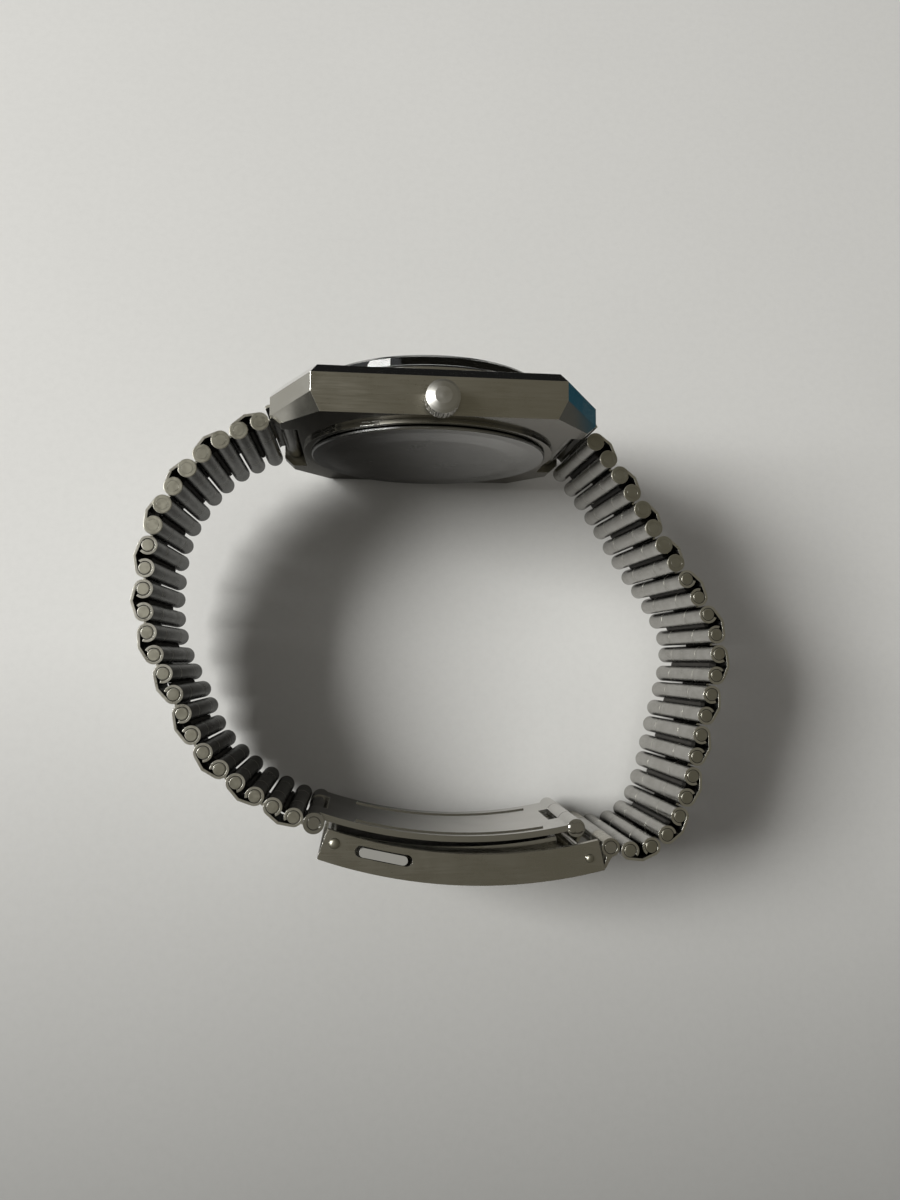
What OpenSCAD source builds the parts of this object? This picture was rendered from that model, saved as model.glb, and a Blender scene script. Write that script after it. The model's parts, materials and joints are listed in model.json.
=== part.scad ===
// Hand-wound wristwatch on a folded tube-link bracelet with a threefold clasp.
// The bracelet is closed into its loop and the watch stands on its nine o'clock side.
//
// Every piece is drawn dial up: +x to twelve o'clock, -y to the crown, +z out of the dial.
// z = 0 is the top edge of the flank band, and y = 0 is the middle of the strap.
// The module stand() then turns the watch onto its side, with the crown up.

/* [Case] */
// Length of the case over its horns
case_length = 37.8; // [36:0.1:42]
// Length of the straight flank
flank_length = 28; // [25:0.1:29]
// Width of the case without the crown
case_width = 35; // [34:0.1:38]
// Width over the outsides of the horns at their tips
horn_span = 22; // [21.6:0.1:24]
// Height of the upright band round the case
band_height = 2.1; // [1.6:0.1:2.4]
// Height of the whole flank, band and lower facet
flank_height = 4.15; // [4.1:0.05:4.6]
// How far the lower facet of the flank leans in
flank_lean_in = 0.5; // [0.2:0.05:0.9]
// Height of the flat top above the band
top_rise = 1.15; // [1.1:0.05:1.8]
// How far the bevel round the top leans in
top_bevel = 1.1; // [0.6:0.05:1.4]
// How far the lower bevel of a corner leans in
corner_bevel = 1.1; // [0.6:0.05:1.6]
// How far the band drops from the flank to a horn's tip
horn_droop = 1.0; // [0:0.1:1.6]
// Radius of the bore that holds the movement
case_bore_r = 13.6; // [13.4:0.05:13.8]
// Radius of the round wall under the case
under_ring_r = 15.7; // [15.3:0.05:15.8]
// Depth of the round wall under the case
under_ring_depth = 0.45; // [0.2:0.05:0.8]

/* [Case back and glass] */
// Radius of the case back
back_r = 14.75; // [14.4:0.05:15]
// Thickness of the case back's rim
back_rim = 0.45; // [0.3:0.05:0.8]
// How far the middle of the case back bulges past its rim
back_bulge = 0.25; // [0.1:0.05:0.5]
// Radius of the rim that snaps into the case
back_snap_r = 13.95; // [13.8:0.05:14.1]
// Radius of the glass
glass_r = 14.8; // [14.4:0.05:15]
// Height of the glass above the flank band
glass_top = 3.45; // [3.1:0.05:3.8]
// Thickness of the glass's flat top
glass_thickness = 1.05; // [0.7:0.05:1.1]
// Width of the glass's side wall
glass_wall = 0.7; // [0.5:0.05:0.9]
// Outer radius of the bezel
bezel_r = 16.3; // [15.9:0.05:16.3]
// Thickness of the bezel
bezel_thickness = 0.6; // [0.4:0.05:0.9]

/* [Dial and hands] */
// Height of the dial's face above the flank band
dial_top = 0.5; // [0.45:0.01:0.55]
// Thickness of the dial
dial_thickness = 0.4; // [0.3:0.05:0.4]
// Length of an hour marker
marker_length = 2.4; // [1.5:0.1:3.5]
// Width of an hour marker
marker_width = 0.7; // [0.4:0.05:1.2]
// Reach of the hour hand
hour_reach = 7.2; // [6:0.1:8]
// Width of the hour hand
hour_width = 0.9; // [0.6:0.05:1.1]
// Reach of the minute hand
minute_reach = 10.6; // [9:0.1:11.5]
// Width of the minute hand
minute_width = 0.7; // [0.5:0.05:0.9]
// Reach of the second hand
second_reach = 11.4; // [10:0.1:12]
// Thickness of a hand
hand_thickness = 0.14; // [0.1:0.01:0.16]

/* [Movement] */
// Radius of the movement
movement_r = 12.8; // [12.7:0.01:12.85]
// Thickness of the main plate
plate_thickness = 1.95; // [1.9:0.01:2]
// Height of the whole movement
movement_height = 4.05; // [4:0.01:4.1]
// Thickness of the bridges
bridge_thickness = 0.45; // [0.4:0.01:0.5]
// Radius of the barrel
barrel_r = 5; // [4.8:0.05:5.1]
// Radius of the centre wheel
centre_wheel_r = 4; // [3.9:0.05:4.1]
// Radius of the third wheel
third_wheel_r = 3.375; // [3.3:0.025:3.4]
// Radius of the fourth wheel
fourth_wheel_r = 2.8; // [2.7:0.05:2.85]
// Radius of the escape wheel
escape_wheel_r = 1.6; // [1.4:0.05:1.7]
// Radius of the balance
balance_r = 2.8; // [2.6:0.05:2.9]

/* [Crown] */
// Diameter of the crown
crown_d = 3.7; // [3.4:0.1:4.4]
// Length of the crown
crown_length = 2.6; // [2.3:0.1:3]
// Height of the winding stem, from the top edge of the band
crown_z = -2.9; // [-2.95:0.01:-2.85]
// Radius of the winding stem
stem_r = 0.5; // [0.4:0.02:0.5]
// Number of flutes round the crown
crown_flutes = 24; // [16:2:32]

/* [Bracelet] */
// Width of the strap between the horns
strap_width = 18; // [17.6:0.1:18]
// Outer diameter of a rolled tube
tube_d = 2.15; // [2.1:0.01:2.2]
// Thickness of the folded sheet
sheet = 0.3; // [0.26:0.01:0.32]
// Distance between the pins of an edge link
edge_pitch = 2.6; // [2.55:0.01:2.65]
// Distance between the pins of a centre link
centre_pitch = 2.35; // [2.3:0.01:2.4]
// Distance from the spring bar to the first pin
end_pitch = 3.1; // [3:0.05:3.3]
// Height of a link's ridge above its pins
ridge_height = 1.46; // [1.35:0.01:1.55]
// Angle at which a rolled end stops under the ridge
curl_end_angle = 45; // [35:1:55]
// Width of the centre links
centre_link_width = 8; // [7.6:0.1:8.4]
// Gap between links that lie side by side
seam = 0.1; // [0.08:0.01:0.14]
// Radial clearance of a pin in its tube
pin_clearance = 0.075; // [0.06:0.005:0.09]

/* [Clasp] */
// Width of the clasp's cover
cover_width = 18.4; // [18.2:0.1:18.8]
// Length of the cover along its outer face
cover_length = 33.5; // [33:0.1:34]
// Outer radius of the curved cover
cover_radius = 60; // [56:0.5:66]
// Height of the cover's flanges
flange_height = 3.5; // [3.3:0.05:3.7]
// Thickness of the cover's outer plate
cover_thickness = 0.7; // [0.6:0.05:0.8]
// Thickness of the cover's flanges
flange_thickness = 0.7; // [0.5:0.05:0.8]
// Thickness of the inner blade
inner_blade_thickness = 0.7; // [0.5:0.05:0.75]
// Thickness of the middle blade
middle_blade_thickness = 0.5; // [0.4:0.05:0.55]
// Radius of the rivet that carries the middle blade
rivet_r = 0.6; // [0.5:0.02:0.65]
// Length of the slot in each flange
slot_length = 6.8; // [5.5:0.1:7.2]
// Width of the slot in each flange
slot_width = 1.3; // [1.2:0.05:1.4]
// Play between the adjuster bar and its slot, all round
slot_play = 0.12; // [0.1:0.01:0.15]
// Length of the adjuster bar
adjuster_length = 5.6; // [5:0.1:5.7]

/* [Stance] */
// How far the clasp sits toward twelve o'clock
clasp_shift = 3.8; // [2:0.1:5]
// How far the strap pins of the clasp hang below the flank band
clasp_drop = 50.6; // [49.5:0.1:51.5]
// Turn of the clasp against the dial
clasp_tilt = -3.2; // [-5:0.1:0]

/* [Hidden] */
$fn = 48;
units = 12;
tube_r = tube_d / 2;
centre_half = centre_link_width / 2;
pin_r = tube_r - sheet - pin_clearance;
strap_edge = strap_width / 2;
link_pin_end = strap_edge - 0.03;
last_segment = 2 * units;

// Case levels and places
case_bottom = -flank_height;
under_ring_bottom = case_bottom - under_ring_depth;
glass_seat = 0.9;
back_seat = case_bottom + 0.55;
recess_half = strap_edge + 0.15;
lug_pivot = [case_length / 2 - 1.5, -2];
recess_x = lug_pivot[0] - tube_r - 0.42;
spring_bar_tip_r = 0.4;
spring_bar_tip = 0.9;
tip_clearance = 0.05;
face_gap = 0.02;
seat_gap = 0.05;
glass_hole_r = glass_r + seat_gap;
chapter_r = case_bore_r - 0.25;
pipe_hole_r = 0.75;
pipe_foot = -0.4;
hand_gap = 0.12;
hour_level = dial_top + 0.34;
minute_level = hour_level + hand_thickness + hand_gap;
second_level = minute_level + hand_thickness + hand_gap;
chapter_height = 0.8;
tension_ring_top = glass_top - glass_thickness - 0.1;
tube_outer_r = 0.9;
crown_base = case_width / 2 + 0.3;
crown_hollow = 1.5;
tube_start = back_snap_r + 0.15;
tube_reach = crown_base + 1.2;
stem_start = 4.5;

// The shape of each half of the bracelet: the heading of the strap at a share of its way
// from the case to the clasp, before the half is bent to meet its pin
left_shape = [[0, -147], [0.04, -146], [0.08, -142], [0.14, -128], [0.2, -118], [0.28, -105],
              [0.36, -88], [0.44, -82], [0.52, -67], [0.6, -52], [0.7, -59], [0.8, -35],
              [0.88, -26], [0.96, -18], [1, -9]];
right_shape = [[0, -49], [0.04, -52], [0.12, -54], [0.22, -59], [0.35, -53], [0.45, -64],
               [0.5, -82], [0.56, -104], [0.64, -105], [0.74, -101], [0.84, -112],
               [0.9, -134], [0.96, -170], [1, -188]];

// Places in the clasp are given by a distance along the cover and a depth under its outer face
cover_half = cover_width / 2;
flange_inside = cover_half - flange_thickness;
cover_end = cover_length / 2;
cover_dip = 5.5;
rivet_depth = 2.2;
slot_depth = 2.15;
inner_pin_depth = 3.5;
cover_pin_depth = 2.25;
fold_depth = 5.1;
fold_s = cover_end - 2.15;
clasp_centre = [0, cover_radius - cover_dip];
inner_pin = clasp_at(-cover_end - 1.8, inner_pin_depth);
cover_pin = clasp_at(cover_end + 1.35, cover_pin_depth);
fold_pin = clasp_at(fold_s, fold_depth);
rivet = clasp_at(-cover_end + 1.3, rivet_depth);
catch_pin = clasp_at(cover_end - 1.5, 1.7);
slot_middle = -cover_end + 7.25;
rivet_end = cover_half + 0.1;
rivet_barrel_half = flange_inside - 0.2;
rib_middle = 6.1;
strap_curl_r = centre_pitch - tube_r - pin_clearance;
barrel_wall = 0.38;
fold_pin_r = 0.6;
fold_barrel_r = fold_pin_r + pin_clearance + barrel_wall;
rivet_barrel_r = rivet_r + pin_clearance + 0.33;
blade_radius = cover_radius - 4;
inner_blade_half = 7.9;
middle_blade_half = 7.2;
fold_tongue_half = 3;
cut_reach = case_width / 2;
outside = -9;
catch_r = 0.48;

function turned(v, a) = [v[0] * cos(a) - v[1] * sin(a), v[0] * sin(a) + v[1] * cos(a)];
function direction(v) = atan2(v[1], v[0]);
function mean(v) = [for (x = v) 1] * v / len(v);
function clasp_angle(s) = s / cover_radius * 180 / PI;
function clasp_at(s, depth) = clasp_centre
    + (cover_radius - depth) * [sin(clasp_angle(s)), -cos(clasp_angle(s))];
function from_clasp(p) = [clasp_shift, -clasp_drop] + turned(p, clasp_tilt);

// A half of the bracelet as [points, headings]: its pivots from the case to the clasp, and the
// heading of each stretch between them. Its bends are scaled until it spans its two ends.
function pitch_of(i) = i == 0 ? end_pitch : i % 2 == 1 ? edge_pitch : centre_pitch;
function walk(bends, k, i = 0, p = [0, 0]) = i > last_segment ? [p] :
    concat([p], walk(bends, k, i + 1, p + pitch_of(i) * [cos(k * bends[i]), sin(k * bends[i])]));
function span(bends, k) = norm(walk(bends, k)[last_segment + 1]);
function bend_scale(bends, goal, low = 0, high = 2, tries = 30) =
    tries == 0 ? (low + high) / 2 :
    let (middle = (low + high) / 2)
    span(bends, middle) > goal ? bend_scale(bends, goal, middle, high, tries - 1)
                               : bend_scale(bends, goal, low, middle, tries - 1);
function strap_half(from, to, shape) =
    let (headings = [for (i = [0 : last_segment]) lookup(i / last_segment, shape)],
         bends = headings - mean(headings) * [for (h = headings) 1],
         k = bend_scale(bends, norm(to - from)),
         path = walk(bends, k),
         swing = direction(to - from) - direction(path[last_segment + 1]))
    [[for (p = path) from + turned(p, swing)], k * bends + swing * [for (b = bends) 1]];

left_strap = strap_half([-lug_pivot[0], lug_pivot[1]], from_clasp(inner_pin), left_shape);
right_strap = strap_half(lug_pivot, from_clasp(cover_pin), right_shape);
LEFT = -1;
RIGHT = 1;

// Standing on its side: the crease of the far flank and the far edge of the cover touch the floor
cover_low = from_clasp(clasp_at(0, 0));
stand_lean = atan2(case_width / 2 - cover_half, -band_height - cover_low[1]);
stand_height = case_width / 2 * cos(stand_lean) + band_height * sin(stand_lean);
stand_front = glass_top * cos(stand_lean) + glass_r * sin(stand_lean);
stand_back = cover_low[1] * cos(stand_lean) - cover_half * sin(stand_lean);
stand_x = (min([for (p = left_strap[0]) p[0]]) + max([for (p = right_strap[0]) p[0]])) / 2;
stand_y = (stand_front + stand_back) / 2;

// Movement levels and the places of its arbors, each at its distance from the one before
plate_top = dial_top - dial_thickness - seat_gap;
plate_bottom = plate_top - plate_thickness;
bridge_bottom = plate_top - movement_height;
bridge_top = bridge_bottom + bridge_thickness;
centre_pinion_r = 0.9;
third_pinion_r = centre_wheel_r / 8;
fourth_pinion_r = third_wheel_r / 7.5;
escape_pinion_r = fourth_wheel_r / 8;
centre_at = [0, 0];
barrel_at = (barrel_r + centre_pinion_r + 0.05) * [cos(30), sin(30)];
third_at = (centre_wheel_r + third_pinion_r + 0.05) * [cos(150), sin(150)];
fourth_at = third_at + (third_wheel_r + fourth_pinion_r + 0.05) * [cos(-100), sin(-100)];
escape_at = fourth_at + (fourth_wheel_r + escape_pinion_r + 0.05) * [cos(-150), sin(-150)];
balance_at = escape_at + (balance_r + escape_wheel_r + 1.2) * [cos(-62), sin(-62)];
fork_at = escape_at + (escape_wheel_r + 1) * [cos(-62), sin(-62)];
cock_foot = [-9.7, -6.5];
cock_r = 1.3;
cock_half = 1.1;
cock_gap = 0.2;
pillars = [[9.6, -6.2], [-3.5, 10.3], [4, -10.6], cock_foot];
arbors = [centre_at, barrel_at, third_at, fourth_at, escape_at, fork_at, balance_at];
pillar_r = 0.9;
pivot_r = 0.15;
pivot_depth = 0.25;
wheel_thickness = 0.2;
holder_r = case_bore_r - seat_gap;

CASE_NODES = ["case_middle", "case_back", "back_gasket", "bezel", "crystal", "tension_ring",
    "spring_bars", "crown_tube", "winding_stem", "crown"];
DIAL_NODES = ["dial", "chapter_ring", "hour_markers", "hour_hand", "minute_hand", "second_hand"];
MOVEMENT_NODES = ["movement_ring", "main_plate", "train_bridge", "barrel", "centre_wheel",
    "third_wheel", "fourth_wheel", "escape_wheel", "pallet_fork", "balance_wheel", "hairspring",
    "balance_cock"];
CLASP_NODES = ["clasp_inner_blade", "clasp_inner_pins", "clasp_middle_blade", "clasp_cover",
    "clasp_rivets", "clasp_adjuster"];

function link_name(side, k) = str(side, "_link_", k < 10 ? "0" : "", k);

STEEL = [0.72, 0.72, 0.7];
BRUSHED = [0.6, 0.59, 0.54];
BRASS = [0.78, 0.62, 0.32];
PLATE = [0.7, 0.69, 0.66];

// Turns the watch from dial up to standing on its side
module stand()
    translate([-stand_x, -stand_y, stand_height]) rotate([stand_lean, 0, 0])
        rotate([-90, 0, 0]) children();

// A flat outline in x and z, made solid across the strap from one width to another.
// Positive widths are on the crown's side.
module across(from, to)
    rotate([90, 0, 0]) translate([0, 0, from]) linear_extrude(to - from) children();

// The same outline on both edges of the strap
module both_edges(from, to) {
    across(from, to) children();
    across(-to, -from) children();
}

// A ring or disc about the dial's centre
module ring(outer, inner, bottom, top)
    translate([0, 0, bottom]) difference() {
        cylinder(r = outer, h = top - bottom);
        translate([0, 0, -1]) cylinder(r = inner, h = top - bottom + 2);
    }

module disc(r, bottom, top) translate([0, 0, bottom]) cylinder(r = r, h = top - bottom);

// Turns a piece drawn along +z so that it points out to the crown
module to_crown() translate([0, 0, crown_z]) rotate([90, 0, 0]) children();

// The flank's outline, with its band, its lower facet and the bevel round the top
module flank_section() {
    half = case_width / 2;
    rotate([90, 0, 90]) linear_extrude(case_length + 2, center = true) polygon([
        [-half, 0], [-half + top_bevel, top_rise], [half - top_bevel, top_rise], [half, 0],
        [half, -band_height], [half - flank_lean_in, case_bottom],
        [-half + flank_lean_in, case_bottom], [-half, -band_height]]);
}

// The side view of the case, with its top falling away to the horns
module end_section() {
    half = case_length / 2;
    foot = band_height + horn_droop;
    rotate([90, 0, 0]) linear_extrude(case_width + 2, center = true) polygon([
        [-half + 4.4, top_rise], [half - 4.4, top_rise], [half - 1.7, top_rise - 0.45],
        [half, -0.05], [half, -foot], [half - 1.2, case_bottom], [-half + 1.2, case_bottom],
        [-half, -foot], [-half, -0.05], [-half + 1.7, top_rise - 0.45]]);
}

// One corner facet: its band runs down from the flank to the tip of the horn
module corner_section() {
    run = [(case_length - flank_length) / 2, (horn_span - case_width) / 2];
    reach = 60;
    steep = 10;
    translate([flank_length / 2, case_width / 2, 0]) rotate([0, 0, direction(run)])
        rotate([0, atan2(horn_droop, norm(run)), 0])
            rotate([90, 0, 90]) linear_extrude(2 * reach, center = true) polygon([
                [0, 0], [-steep * top_bevel, steep * top_rise], [-reach, steep * top_rise],
                [-reach, -steep * band_height],
                [-steep * corner_bevel, -band_height - steep * (flank_height - band_height)],
                [0, -band_height]]);
}

module case_shape()
    intersection() {
        flank_section();
        end_section();
        corner_section();
        mirror([1, 0, 0]) corner_section();
        mirror([0, 1, 0]) corner_section();
        mirror([1, 0, 0]) mirror([0, 1, 0]) corner_section();
    }

// The space between the horns at one end, which leaves the seat of the bezel whole
module strap_recess()
    difference() {
        translate([recess_x, -recess_half, case_bottom - 1])
            cube([case_length, 2 * recess_half, flank_height + top_rise + 2]);
        disc(bezel_r, 0, top_rise + 2);
    }

module case_middle()
    color(BRUSHED) difference() {
        union() {
            case_shape();
            disc(under_ring_r, under_ring_bottom, 0);
            disc(bezel_r, 0, top_rise);
        }
        strap_recess();
        mirror([1, 0, 0]) strap_recess();
        disc(case_bore_r, under_ring_bottom - 1, top_rise + 1);
        disc(glass_hole_r, glass_seat, top_rise + 1);
        disc(back_snap_r + seat_gap, under_ring_bottom - 1, back_seat);
        for (side = [-1, 1])
            both_edges(recess_half - 1, recess_half + spring_bar_tip + 0.1)
                translate([side * lug_pivot[0], lug_pivot[1]])
                    circle(spring_bar_tip_r + tip_clearance);
        to_crown() cylinder(r = tube_outer_r + face_gap, h = case_width);
    }

module bezel()
    color(STEEL) translate([0, 0, top_rise + face_gap]) rotate_extrude() polygon([
        [glass_hole_r, 0], [bezel_r, 0], [bezel_r, bezel_thickness / 2],
        [bezel_r - bezel_thickness / 2, bezel_thickness], [glass_hole_r, bezel_thickness]]);

module crystal() {
    inside = glass_r - glass_wall;
    edge = 0.35;
    color([0.8, 0.85, 0.85, 0.4]) rotate_extrude() polygon([
        [0, glass_top - glass_thickness], [inside, glass_top - glass_thickness],
        [inside, glass_seat + face_gap], [glass_r, glass_seat + face_gap],
        [glass_r, glass_top - edge], [glass_r - edge, glass_top], [0, glass_top]]);
}

module tension_ring() {
    outer = glass_r - glass_wall - seat_gap;
    color([0.05, 0.05, 0.05]) ring(outer, outer - 0.6, glass_seat + face_gap, tension_ring_top);
}

module chapter_ring()
    color([0.12, 0.12, 0.12]) ring(chapter_r, chapter_r - 0.75, dial_top + face_gap,
        dial_top + chapter_height);

module dial()
    color([0.88, 0.87, 0.83]) ring(chapter_r - 0.15, pipe_hole_r, dial_top - dial_thickness,
        dial_top);

// Twelve batons, with a pair at twelve
module hour_markers() {
    far_end = chapter_r - 1.4;
    color(STEEL) for (hour = [0 : 11])
        rotate(hour * 30)
            for (shift = hour == 0 ? [-0.5, 0.5] : [0])
                translate([far_end - marker_length, shift - marker_width / 2,
                           dial_top + face_gap / 2])
                    cube([marker_length, hour == 0 ? marker_width - 0.1 : marker_width, 0.22]);
}

// A hand at twelve: a tapered blade on a pipe that reaches down through the dial
module hand(reach, tail, width, level, pipe, hole) {
    color(STEEL) difference() {
        union() {
            translate([0, 0, level]) linear_extrude(hand_thickness) union() {
                polygon([[-tail, -width / 2], [reach * 0.8, -width / 2], [reach, 0],
                         [reach * 0.8, width / 2], [-tail, width / 2]]);
                circle(pipe + 0.35);
            }
            disc(pipe, pipe_foot, level + hand_thickness);
        }
        if (hole > 0) disc(hole, pipe_foot - 1, level + 1);
    }
}

module hour_hand() hand(hour_reach, hour_reach / 6, hour_width, hour_level, 0.62, 0.42);

module minute_hand() hand(minute_reach, minute_reach * 0.15, minute_width, minute_level, 0.36, 0.2);

module second_hand() hand(second_reach, second_reach / 4, 0.22, second_level, 0.15, 0);

// The back: a rim that rests on the case, a snap rim inside it and a bulged middle
module case_back() {
    rim_top = under_ring_bottom - face_gap;
    rim_bottom = rim_top - back_rim;
    color(STEEL) rotate_extrude() polygon([
        [0, rim_bottom - back_bulge], [back_r - 4, rim_bottom - back_bulge],
        [back_r - 1.5, rim_bottom], [back_r - 0.15, rim_bottom], [back_r, rim_bottom + 0.15],
        [back_r, rim_top - 0.1], [back_r - 0.1, rim_top], [back_snap_r, rim_top],
        [back_snap_r, back_seat - 0.15], [back_snap_r - 0.4, back_seat - 0.15],
        [back_snap_r - 0.4, rim_top + 0.1], [0, rim_top + 0.1]]);
}

module back_gasket()
    color([0.1, 0.1, 0.1])
        ring(back_snap_r, back_snap_r - 0.3, back_seat - 0.13, back_seat - face_gap);

module crown_tube()
    color(STEEL) to_crown() translate([0, 0, tube_start]) difference() {
        cylinder(r = tube_outer_r, h = tube_reach - tube_start);
        translate([0, 0, -1]) cylinder(r = stem_r + seat_gap, h = case_width);
    }

module winding_stem()
    color(STEEL) to_crown() translate([0, 0, stem_start])
        cylinder(r = stem_r, h = crown_base + crown_length - 0.9 - stem_start);

// The crown is fluted, has a domed face and is hollow where it covers its tube
module crown() {
    r = crown_d / 2;
    flute = 0.14;
    rise = 0.35;
    color(STEEL) to_crown() translate([0, 0, crown_base]) difference() {
        rotate_extrude() polygon([[0, 0], [r - 0.25, 0], [r, 0.25], [r, crown_length - rise - 0.2],
            [r - 0.3, crown_length - rise], [r * 0.5, crown_length - 0.08], [0, crown_length]]);
        translate([0, 0, -1]) cylinder(r = tube_outer_r + 0.08, h = 1 + crown_hollow);
        cylinder(r = stem_r + face_gap, h = crown_length - 0.85);
        for (i = [1 : crown_flutes])
            rotate(i * 360 / crown_flutes) translate([r + flute * 0.4, 0, 0.3])
                cylinder(r = flute, h = crown_length - rise - 0.6, $fn = 16);
    }
}

module spring_bars()
    color(STEEL) for (side = [-1, 1]) {
        across(-strap_edge, strap_edge) translate([side * lug_pivot[0], lug_pivot[1]])
            circle(pin_r);
        across(-strap_edge - spring_bar_tip, strap_edge + spring_bar_tip)
            translate([side * lug_pivot[0], lug_pivot[1]]) circle(spring_bar_tip_r);
    }

module at(p) translate([p[0], p[1], 0]) children();

// A wheel with its arbor, standing between the main plate and a bridge
module wheel(at, r, level, pinion, pinion_low, pinion_high) {
    color(BRASS) at(at) {
        difference() {
            disc(r, level, level + wheel_thickness);
            for (i = [1 : 5])
                rotate(i * 72) translate([r * 0.55, 0, level - 1]) cylinder(r = r * 0.2, h = 2);
        }
        disc(pinion, pinion_low, pinion_high);
        arbor();
    }
}

module arbor() {
    disc(pivot_r + 0.1, bridge_top + 0.05, plate_bottom - 0.05);
    disc(pivot_r, bridge_top - pivot_depth, plate_bottom + pivot_depth);
}

module barrel()
    color(BRASS) at(barrel_at) {
        disc(barrel_r, bridge_top + 0.15, plate_bottom - 0.5);
        arbor();
    }

module centre_wheel()
    wheel(centre_at, centre_wheel_r, plate_bottom - 0.35, centre_pinion_r, bridge_top + 0.15,
        plate_bottom - 0.3);

module third_wheel()
    wheel(third_at, third_wheel_r, bridge_top + 0.2, third_pinion_r, plate_bottom - 0.4,
        plate_bottom - 0.1);

module fourth_wheel()
    wheel(fourth_at, fourth_wheel_r, plate_bottom - 0.85, fourth_pinion_r, bridge_top + 0.1,
        bridge_top + 0.5);

module escape_wheel()
    wheel(escape_at, escape_wheel_r, bridge_top + 0.25, escape_pinion_r, plate_bottom - 0.9,
        plate_bottom - 0.6);

// The fork's lever points at the balance and its two arms face the escape wheel
module pallet_fork()
    color(STEEL) at(fork_at) {
        rotate(direction(balance_at - fork_at))
            translate([0, 0, bridge_top + 0.25]) linear_extrude(wheel_thickness) union() {
                circle(0.4);
                polygon([[0, -0.2], [2.1, -0.12], [2.1, -0.35], [2.5, -0.35], [2.5, 0.35],
                         [2.1, 0.35], [2.1, 0.12], [0, 0.2]]);
                polygon([[-0.7, -1.2], [0.1, -1], [0.1, 1], [-0.7, 1.2], [-0.7, 0.9],
                         [-0.15, 0.75], [-0.15, -0.75], [-0.7, -0.9]]);
            }
        arbor();
    }

module balance_wheel() {
    rim = plate_bottom - 0.6;
    color(BRASS) at(balance_at) {
        ring(balance_r, balance_r - 0.45, rim, rim + 0.35);
        translate([0, 0, rim + 0.1]) linear_extrude(0.15)
            square([2 * balance_r - 0.6, 0.5], center = true);
        disc(0.35, bridge_top + 0.2, bridge_top + 0.45);
        arbor();
    }
}

// A flat spiral of half rings about two centres, with a stud at its outer end
module hairspring() {
    first = 0.5;
    step = 0.15;
    halves = 10;
    last = first + halves * step;
    low = bridge_top + 0.6;
    color([0.35, 0.4, 0.6]) at(balance_at) {
        translate([0, 0, low]) linear_extrude(0.2) for (i = [0 : halves])
            spiral_half(first + i * step, i % 2 == 0 ? 0 : step, i % 2 == 0 ? 1 : -1);
        translate([-last, 0, 0]) disc(0.2, bridge_top + face_gap, low + 0.2);
    }
}

module spiral_half(r, shift, side)
    translate([shift, 0]) intersection() {
        difference() {
            circle(r + 0.04);
            circle(r - 0.04);
        }
        translate([0, side * 5]) square([10, 10], center = true);
    }

module main_plate()
    color(PLATE) difference() {
        union() {
            disc(movement_r, plate_bottom, plate_top);
            for (p = pillars) at(p) disc(pillar_r, bridge_top + face_gap, plate_bottom + 0.1);
        }
        disc(pipe_hole_r, pipe_foot - 0.3, plate_top + 1);
        for (p = arbors) at(p) disc(pivot_r + seat_gap, plate_bottom - 1, plate_bottom + 0.35);
    }

module bridge_hole() {
    at(balance_at) disc(balance_r - 0.4, bridge_bottom - 1, bridge_top + 1);
    at(cock_foot) disc(cock_r + cock_gap, bridge_bottom - 1, bridge_top + 1);
    cock_strip(cock_half + cock_gap, bridge_bottom - 1, bridge_top + 1);
}

// A straight strip between the cock's foot and the balance
module cock_strip(half, low, high) {
    run = balance_at - cock_foot;
    at(cock_foot) rotate(direction(run)) translate([0, -half, low])
        cube([norm(run), 2 * half, high - low]);
}

module train_bridge()
    color(PLATE) difference() {
        disc(movement_r, bridge_bottom, bridge_top);
        bridge_hole();
        for (p = arbors) at(p) disc(pivot_r + seat_gap, bridge_bottom - 1, bridge_top + 1);
    }

module balance_cock()
    color(PLATE) difference() {
        union() {
            at(cock_foot) disc(cock_r, bridge_bottom, bridge_top);
            at(balance_at) disc(cock_r, bridge_bottom, bridge_top);
            cock_strip(cock_half, bridge_bottom, bridge_top);
        }
        at(balance_at) disc(pivot_r + seat_gap, bridge_bottom - 1, bridge_top + 1);
    }

module movement_ring()
    color([0.2, 0.2, 0.2]) difference() {
        ring(holder_r, movement_r + 0.1, back_seat + 0.05, plate_top);
        translate([-stem_r - 0.15, -case_width, crown_z - 2])
            cube([2 * stem_r + 0.3, case_width, 2 + stem_r + 0.15]);
    }

// A folded link's side view, from the pin at the origin to the pin at [pitch, 0].
// The sheet is rolled round both pins and rises to a ridge between them.
module fold_profile(pitch) {
    roof = roof_angle(pitch);
    inside = tube_r - sheet;
    far = [pitch, 0];
    difference() {
        union() {
            circle(tube_r);
            translate(far) circle(tube_r);
            polygon([[0, 0], polar(tube_r, roof), [pitch / 2, ridge_height],
                     far + polar(tube_r, 180 - roof), far]);
        }
        circle(inside);
        translate(far) circle(inside);
        difference() {
            polygon([[0, -0.3], [0, 0], polar(inside, roof),
                     [pitch / 2, ridge_height - sheet / sin(roof)],
                     far + polar(inside, 180 - roof), far, far - [0, 0.3]]);
            curl_end();
            translate(far) mirror([1, 0]) curl_end();
        }
    }
}

// The part of a rolled end that stays under the ridge
module curl_end()
    intersection() {
        circle(tube_r);
        polygon([[0, 0], polar(2 * tube_r, curl_end_angle), [2 * tube_r, -2 * tube_r],
                 [-0.1, -2 * tube_r], [-0.1, 0]]);
    }

function polar(r, a) = r * [cos(a), sin(a)];
function roof_angle(pitch) = atan2(ridge_height, pitch / 2)
    + acos(tube_r / norm([pitch / 2, ridge_height]));

// Puts a side view on stretch i of a half of the bracelet, with its ridge outward
module on_strap(strap, side, i)
    translate(strap[0][i]) rotate(strap[1][i])
        if (side == LEFT) mirror([0, 1]) children();
        else children();

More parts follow.
